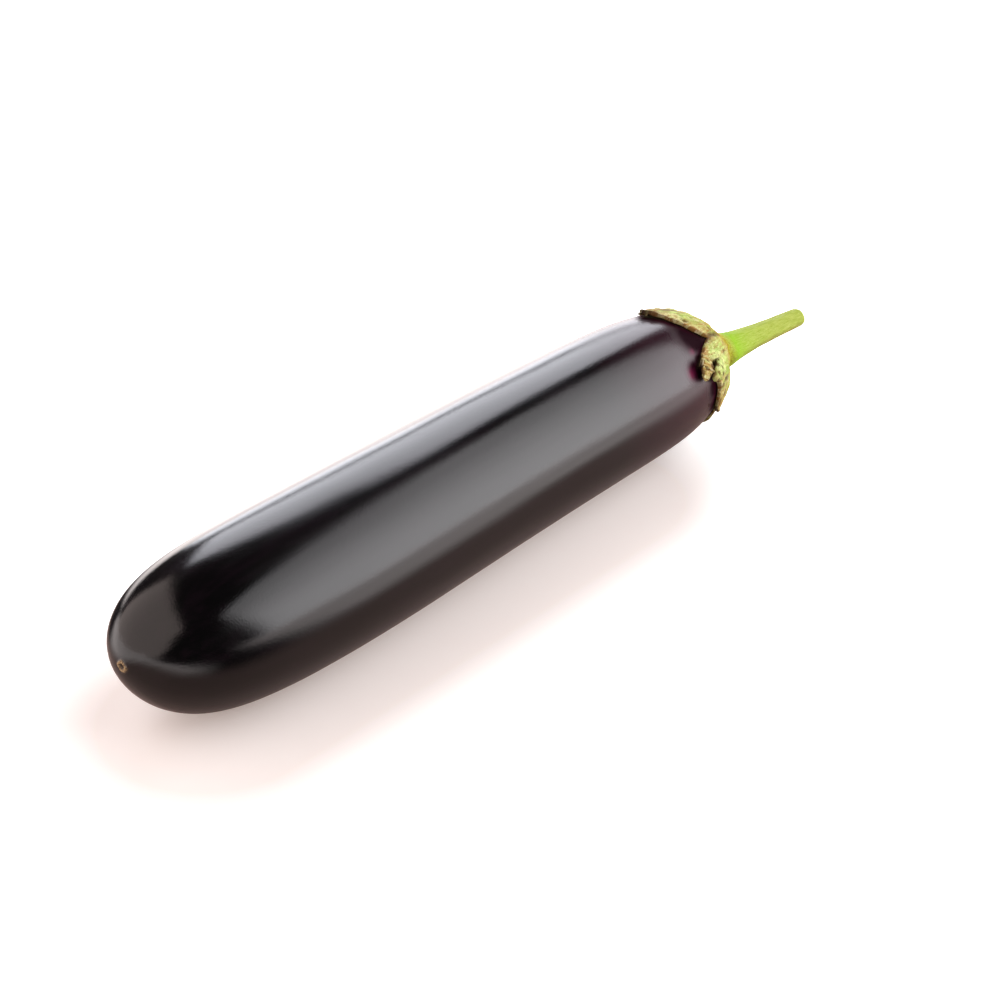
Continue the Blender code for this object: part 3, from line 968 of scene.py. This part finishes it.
def add_flap(growth, start, end, half_width, half_thickness, arch, traits):
    """A small curled blade lying on the calyx. Its ends are (degrees, distance from stem, lift)."""

    def middle(t):
        angle, arc, lift = (blend(a, b, t) for a, b in zip(start, end))
        lift += arch * math.sin(math.pi * t)
        return skin_point(SKIN_LENGTH - arc, math.radians(angle), lift) + LAID_DOWN, angle, arc

    def ring(t):
        here, angle, arc = middle(t)
        up = here - skin_point(SKIN_LENGTH - arc, math.radians(angle)) - LAID_DOWN
        across = (middle(t + 0.02)[0] - middle(t - 0.02)[0]).cross(up).normalized()
        fullness = math.sqrt(max(1 - (2 * t - 1) ** 2, 0)) * (1 + 0.08 * math.sin(19 * t))
        points = []
        for k in range(FLAP_SIDES):
            turn = 2 * math.pi * k / FLAP_SIDES
            uneven = noise.noise(Vector((5 * t + 90 * arc, 1.3 * math.cos(turn), 1.3 * math.sin(turn))))
            out = across * (half_width * fullness * math.cos(turn))
            out += up.normalized() * (half_thickness * fullness * math.sin(turn))
            out *= 1 + FLAP_UNEVENNESS * uneven
            values = dict(traits)
            # painted shade on the flap's underside
            beneath = 1.0 if math.sin(turn) < -0.2 else 0.0
            values["edge"] = max(abs(math.cos(turn)) ** 4, abs(2 * t - 1) ** 6, beneath)
            values["crease"] = 0.55 - 0.5 * uneven
            values["grown"] = fibres_at(math.radians(angle), arc)
            points.append((here + out, values))
        return points

    rings = [ring(i / FLAP_RINGS) for i in range(1, FLAP_RINGS)]
    growth.closed((middle(0.0)[0], dict(traits)), rings, (middle(1.0)[0], dict(traits)))


def covered(tree, colour, cover, mask, strength):
    """A colour with a cover laid over it where the mask says, as thick as strength at most."""
    return mixed(tree, worked_out(tree, "MULTIPLY", mask, strength), colour, cover)


def green_material():
    material, tree, shader = new_material("green_calyx")
    place = add_node(tree, "TexCoord").outputs["Object"]
    grown = add_node(tree, "Attribute", {"attribute_name": "grown"}).outputs["Vector"]
    blotches = patches(tree, place, 520.0, 0.48, 0.58)
    fine = patches(tree, place, 1100.0, 0.40, 0.60)
    streaks = patches(tree, grown, 800.0, 0.47, 0.60)
    fine_streaks = patches(tree, grown, 1500.0, 0.50, 0.58)

    # the thin blades are cream and green, and the fleshy cup is yellower
    colour = mixed(tree, patches(tree, place, 230.0, 0.46, 0.56), BLADE_CREAM, BLADE_GREEN)
    colour = mixed(tree, trait(tree, "pale"), colour, mixed(tree, fine, LOBE_GREEN, LOBE_CREAM))
    vivid = worked_out(tree, "MULTIPLY", trait(tree, "lobe"), blotches)
    colour = covered(tree, colour, VIVID_GREEN, vivid, 0.7)
    cup = mixed(tree, fine_streaks, mixed(tree, blotches, CUP_OCHRE, CUP_LIME), CUP_RUST)
    colour = mixed(tree, trait(tree, "cup"), colour, cup)

    # they dry to tan outwards, with rust along the veins and brown in the creases
    margin, rusted = trait(tree, "margin"), trait(tree, "rusted")
    dry = worked_out(tree, "MULTIPLY", margin, ranged(tree, blotches, 0.0, 1.0, 0.55, 1.0))
    colour = mixed(tree, dry, colour, mixed(tree, fine, DRY_TAN, DRY_CREAM))
    rusty = worked_out(tree, "MULTIPLY", streaks, ranged(tree, margin, 0.0, 1.0, 0.45, 0.90))
    rusty = worked_out(tree, "MAXIMUM", rusty, worked_out(tree, "MULTIPLY", rusted, fine_streaks))
    colour = mixed(tree, rusty, colour, RUST)
    colour = covered(tree, colour, RUST_STAIN, rusted, 0.45)
    deep = add_node(
        tree,
        "MapRange",
        {"interpolation_type": "SMOOTHSTEP"},
        Value=trait(tree, "crease"),
        From_Min=CREASE_BROWNS[0],
        From_Max=CREASE_BROWNS[1],
    )
    colour = covered(tree, colour, CREASE_BROWN, deep.outputs["Result"], 0.8)
    colour = covered(tree, colour, SPECK_BROWN, patches(tree, place, 1900.0, 0.56, 0.66), 0.7)

    # the stem is lime, with lengthwise fibres, and comes out of an amber ring
    stalk = mixed(tree, patches(tree, grown, 2400.0, 0.35, 0.65), STEM_GREEN, STEM_PALE)
    stalk = covered(tree, stalk, STEM_FOOT_GREEN, trait(tree, "bright"), 0.80)
    scuffed = worked_out(tree, "MULTIPLY", trait(tree, "streak"), streaks)
    stalk = mixed(tree, scuffed, stalk, STEM_SCUFF)
    colour = mixed(tree, trait(tree, "stem"), colour, stalk)
    colour = covered(tree, colour, mixed(tree, streaks, AMBER, AMBER_BROWN), trait(tree, "base"), 0.8)

    # the dark places are torn edges, shrivelled tips, and painted shade beneath the flaps and sepals, in the
    # creases between sepals and in the sunken spots
    torn_edges_and_shade = worked_out(tree, "MULTIPLY", trait(tree, "edge"), ranged(tree, streaks, 0.0, 1.0, 0.85, 1.0))
    dark = worked_out(tree, "MAXIMUM", torn_edges_and_shade, worked_out(tree, "MULTIPLY", trait(tree, "groove"), 0.85))
    dark = worked_out(tree, "MAXIMUM", dark, trait(tree, "hollow"))
    colour = mixed(tree, dark, colour, TORN_BROWN_AND_PAINTED_SHADE)
    colour = mixed(tree, trait(tree, "tip"), colour, SHRIVELLED_BROWN)
    colour = mixed(tree, trait(tree, "cut"), colour, CUT_GREEN)
    tree.links.new(colour, shader.inputs["Base Color"])

    tree.links.new(ranged(tree, fine, 0.0, 1.0, *LEAF_ROUGHNESS), shader.inputs["Roughness"])
    shader.inputs["Specular IOR Level"].default_value = 0.08
    shader.inputs["Subsurface Weight"].default_value = 0.08
    shader.inputs["Subsurface Radius"].default_value = (0.6, 0.8, 0.25)
    shader.inputs["Subsurface Scale"].default_value = 0.001
    veins = add_node(tree, "TexNoise", Vector=place, Scale=1300.0, Detail=3.0)
    strands = add_node(tree, "TexNoise", Vector=grown, Scale=2600.0, Detail=2.0)
    height = add_node(tree, "Mix", {"data_type": "FLOAT"}, Factor=0.5)
    tree.links.new(veins.outputs["Fac"], height.inputs["A"])
    tree.links.new(strands.outputs["Fac"], height.inputs["B"])
    bump = add_node(tree, "Bump", Strength=0.8, Distance=0.0004, Height=height.outputs[0])
    tree.links.new(bump.outputs["Normal"], shader.inputs["Normal"])
    return material


CALYX_TRAITS = ("margin", "edge", "crease", "groove", "hollow", "lobe", "pale", "rusted", "cup", "tip")
CALYX_TRAITS += ("stem", "bright", "streak", "base", "cut")


def make_calyx_and_stem():
    growth = Growth(CALYX_TRAITS)
    columns = fine_columns()
    rings = []
    for i in range(1, UNDER_ROWS + 1):
        rings.append([under_point(column, i / UNDER_ROWS) for column in columns])
    rings.append([rim_point(column) for column in columns])
    for i in range(TOP_ROWS + 1):
        inward = i / TOP_ROWS
        rings.append([top_point(column, blend(column[1], CALYX_NECK_ARC, inward)) for column in columns])
    for i in range(1, NECK_ROWS + 1):
        rings.append([neck_point(column, i / (NECK_ROWS + 1)) for column in columns])
    straight = STEM_LENGTH - CUT_ROUNDING - CALYX_NECK_ARC
    distances = [CALYX_NECK_ARC + straight * i / STEM_ROWS for i in range(STEM_ROWS + 1)]
    distances += [STEM_LENGTH - CUT_ROUNDING * share for share in CUT_ROWS]
    rings += [[stem_point(distance, column[0]) for column in columns] for distance in distances]
    under = (skin_point(SKIN_LENGTH, 0.0, CALYX_CLEARANCE) + LAID_DOWN, {"margin": 1.0})
    end = (stem_middle(STEM_LENGTH) + LAID_DOWN, {"stem": 1.0, "cut": 1.0})
    growth.closed(under, rings, end)
    for tongue in TONGUES:
        add_flap(growth, *tongue, {"pale": 0.8, "lobe": 0.5, "crease": 0.3})
    for tip in CURLED_TIPS:
        add_flap(growth, *tip, {"margin": 0.8, "pale": 0.5})
    for prong in PRONGS:
        add_flap(growth, *prong, {"margin": 1.0, "tip": 0.75})
    return growth.finish("calyx_and_stem_growth", green_material())


calyx = make_calyx_and_stem()
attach(calyx, "root")
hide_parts("calyx_and_stem")
